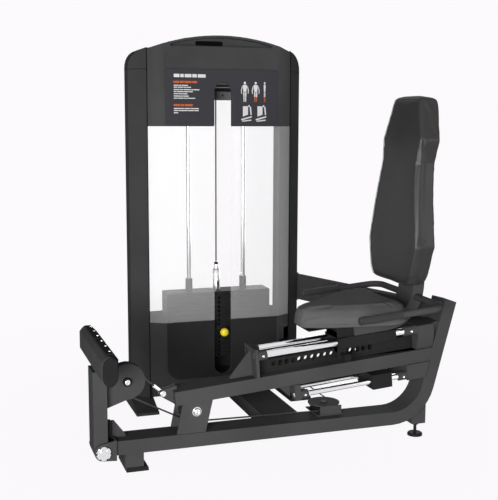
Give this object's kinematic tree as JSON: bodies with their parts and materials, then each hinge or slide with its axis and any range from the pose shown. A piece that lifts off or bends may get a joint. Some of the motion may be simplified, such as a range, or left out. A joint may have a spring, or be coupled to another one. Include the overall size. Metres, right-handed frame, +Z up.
{
  "type": "seated calf raise machine",
  "caption": "Seated calf raise machine: swinging foot arm, sliding padded seat with backrest and handles, and a cable-driven weight-stack tower at one side.",
  "frame": {"origin": "middle of the footprint at floor level", "axes": "+X from the foot arm to the rear post, +Y from the seat to the weight tower, +Z up"},
  "size_m": [1.3782, 1.1726, 1.54],
  "materials": {
    "frame_paint": "satin charcoal powder coat",
    "tower_paint": "fine textured charcoal powder coat",
    "placard_face": null,
    "shield_plastic": "milky translucent",
    "chrome": "polished",
    "plate_steel": "black oxide",
    "black_plastic": "fine grained",
    "black_rubber": "matt",
    "upholstery": "soft grained black vinyl",
    "knob_plastic": "bright yellow",
    "cable_coat": "black nylon coat"
  },
  "bodies": {
    "frame": {"base_beam": "frame_paint", "rail_tube": "frame_paint", "cable_bracket": "frame_paint", "cross_beam": "frame_paint", "tower_brace": "frame_paint", "tower_base": "frame_paint", "pulley_carrier": "frame_paint", "redirect_bracket": "frame_paint", "adjusting_bar": "frame_paint", "left_column": "tower_paint", "right_column": "tower_paint", "head_cover": "tower_paint", "lower_cover": "tower_paint", "placard_panel": "placard_face", "left_shield": "shield_plastic", "right_shield": "shield_plastic", "rear_cover": "shield_plastic", "pivot_shaft": "chrome", "upper_rod_near": "chrome", "upper_rod_far": "chrome", "lower_rod_near": "chrome", "lower_rod_far": "chrome", "guide_rod_left": "chrome", "guide_rod_right": "chrome", "cable_anchor": "chrome", "parked_plates": "plate_steel", "levelling_foot": "black_rubber", "stop_bumper": "black_rubber", "arm_cable": "cable_coat", "main_cable": "cable_coat", "stack_cable": "cable_coat"},
    "foot_arm": {"foot_arm": "frame_paint", "foot_bar": "frame_paint", "tread_near": "black_plastic", "tread_far": "black_plastic"},
    "arm_pulley": {"arm_pulley": "black_plastic"},
    "guide_pulley": {"guide_pulley": "black_plastic"},
    "redirect_pulley": {"redirect_pulley": "black_plastic"},
    "tower_pulley": {"tower_pulley": "black_plastic"},
    "head_pulley_inner": {"head_pulley_inner": "black_plastic"},
    "head_pulley_outer": {"head_pulley_outer": "black_plastic"},
    "seat_carriage": {"carriage": "frame_paint", "lower_carriage": "frame_paint", "seat_cushion": "upholstery", "back_pad": "upholstery", "back_bracket": "frame_paint", "handle_tube": "frame_paint", "grip_near": "black_rubber", "grip_far": "black_rubber"},
    "seat_pin": {"seat_pin": "black_plastic"},
    "lifted_stack": {"head_plate": "plate_steel", "plate_1": "plate_steel", "plate_2": "plate_steel", "plate_3": "plate_steel", "plate_4": "plate_steel", "plate_5": "plate_steel", "plate_6": "plate_steel", "plate_7": "plate_steel", "plate_8": "plate_steel"},
    "selector_pin": {"selector_pin": "knob_plastic"}
  },
  "joints": [
    {"name": "foot_arm_swing", "type": "hinge", "parent": "frame", "child": "foot_arm", "pos_m": [-0.65907, -0.30575, 0.085], "axis": [0, -1, 0], "range_deg": [0, 24], "deforming": ["arm_cable"]},
    {"name": "stack_lift", "type": "slide", "parent": "frame", "child": "lifted_stack", "axis": [0, 0, 1], "range_m": [0, 0.2], "deforming": ["stack_cable"]},
    {"name": "arm_pulley_spin", "type": "hinge", "parent": "foot_arm", "child": "arm_pulley", "pos_m": [-0.56707, -0.30575, 0.314], "axis": [0, 1, 0], "range_deg": [-5, 145]},
    {"name": "guide_pulley_spin", "type": "hinge", "parent": "frame", "child": "guide_pulley", "pos_m": [-0.32807, -0.30575, 0.194], "axis": [0, 1, 0], "range_deg": [-5, 226]},
    {"name": "redirect_pulley_spin", "type": "hinge", "parent": "frame", "child": "redirect_pulley", "pos_m": [0.19293, -0.25475, 0.133], "axis": [0, 0, -1], "range_deg": [-5, 222]},
    {"name": "tower_pulley_spin", "type": "hinge", "parent": "frame", "child": "tower_pulley", "pos_m": [0.24393, 0.34325, 0.184], "axis": [-1, 0, 0], "range_deg": [-5, 222]},
    {"name": "head_pulley_outer_spin", "type": "hinge", "parent": "frame", "child": "head_pulley_outer", "pos_m": [0.19293, 0.39425, 1.42], "axis": [0, 1, 0], "range_deg": [-5, 222]},
    {"name": "head_pulley_inner_spin", "type": "hinge", "parent": "frame", "child": "head_pulley_inner", "pos_m": [0.01393, 0.39425, 1.42], "axis": [0, 1, 0], "range_deg": [-5, 222]},
    {"name": "seat_slide", "type": "slide", "parent": "frame", "child": "seat_carriage", "axis": [0.9964, 0, 0.0842], "range_m": [-0.2295, 0.0255]},
    {"name": "seat_pin_pull", "type": "slide", "parent": "seat_carriage", "child": "seat_pin", "axis": [0, -1, 0], "range_m": [-0.022, 0.006]},
    {"name": "selector_pull", "type": "slide", "parent": "lifted_stack", "child": "selector_pin", "axis": [0, -1, 0], "range_m": [0, 0.11]}
  ],
  "couplings": [
    {"joint": "stack_lift", "follows": "foot_arm_swing", "m_per_rad": 0.459},
    {"joint": "arm_pulley_spin", "follows": "foot_arm_swing", "ratio": 5.83},
    {"joint": "guide_pulley_spin", "follows": "foot_arm_swing", "ratio": 9.18},
    {"joint": "redirect_pulley_spin", "follows": "foot_arm_swing", "ratio": 9},
    {"joint": "tower_pulley_spin", "follows": "foot_arm_swing", "ratio": 9},
    {"joint": "head_pulley_outer_spin", "follows": "foot_arm_swing", "ratio": 9},
    {"joint": "head_pulley_inner_spin", "follows": "foot_arm_swing", "ratio": 9}
  ]
}
